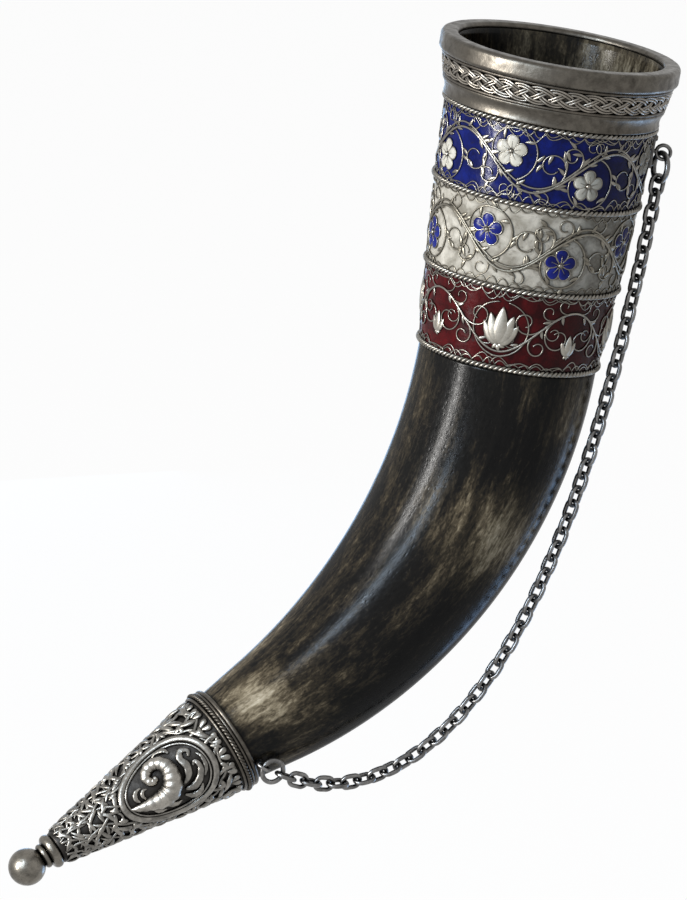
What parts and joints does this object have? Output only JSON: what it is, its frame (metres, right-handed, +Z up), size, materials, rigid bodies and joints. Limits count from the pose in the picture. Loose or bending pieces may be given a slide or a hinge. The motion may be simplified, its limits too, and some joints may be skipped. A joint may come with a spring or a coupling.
{
  "type": "drinking horn",
  "caption": "Curved natural drinking horn with a silver rim, three enamelled bands, an ornamented tip cap with a ball finial, and a carrying chain between rings.",
  "frame": {"origin": "middle of the bare horn on its centreline, where a hand holds it", "axes": "+Z up as it hangs, the curve in the XZ plane with the mouth towards +X and +Z, the chain on the -Y side"},
  "size_m": [0.2749, 0.092, 0.3101],
  "materials": {
    "horn": "polished natural horn",
    "silver": "aged silver",
    "bright_silver": "bright silver",
    "dark_silver": "oxidised silver",
    "dark_steel": "oxidised wire",
    "blue_enamel": "vitreous enamel",
    "white_enamel": "vitreous enamel",
    "red_enamel": "vitreous enamel",
    "white_inlay": "enamel",
    "blue_inlay": "enamel",
    "pitch": "setting pitch"
  },
  "bodies": {
    "horn": {"horn_shell": "horn", "rim_lip": "silver", "rim_frieze": "dark_silver", "rim_interlace": "silver", "rim_moulding": "silver", "band_sleeve": "dark_silver", "rim_rope": "silver", "blue_enamel": "blue_enamel", "blue_vine": "silver", "blue_band_flowers": "white_inlay", "blue_white_rope": "silver", "white_enamel": "white_enamel", "white_vine": "silver", "white_band_flowers": "blue_inlay", "white_red_rope": "silver", "red_enamel": "red_enamel", "red_vine": "silver", "red_band_palmettes": "bright_silver", "foot_rope": "silver", "upper_eye": "dark_steel", "upper_eye_rivets": "silver", "lower_eye": "dark_steel", "cap_collar": "silver", "cap_cable": "silver", "cap_fillet": "silver", "cap_shell": "dark_silver", "cap_bedding": "pitch", "medallion_frame": "silver", "medallion_beast": "silver", "neck_collar": "silver", "neck_ring": "silver", "finial_ball": "silver", "finial_stud": "dark_steel"},
    "chain": {"chain_run_1": "dark_steel", "chain_run_2": "dark_steel", "chain_run_3": "dark_steel", "chain_run_4": "dark_steel", "chain_run_5": "dark_steel", "chain_run_6": "dark_steel", "chain_run_7": "dark_steel", "chain_run_8": "dark_steel", "chain_run_9": "dark_steel"},
    "upper_ring": {"upper_ring": "dark_steel"},
    "lower_ring": {"lower_ring": "dark_steel"}
  },
  "joints": [
    {"name": "chain_swing", "type": "hinge", "parent": "horn", "child": "chain", "pos_m": [0.08932, -0.02237, 0.15705], "axis": [-0.601, 0.0031, -0.7992], "range_deg": [-6, 45]},
    {"name": "upper_ring_turn", "type": "hinge", "parent": "chain", "child": "upper_ring", "pos_m": [0.08819, -0.02236, 0.15141], "axis": [-0.9803, 0.0051, 0.1976], "continuous": true},
    {"name": "lower_ring_turn", "type": "hinge", "parent": "chain", "child": "lower_ring", "pos_m": [-0.07339, -0.02152, -0.06728], "axis": [0.0052, 1, 0], "continuous": true}
  ]
}
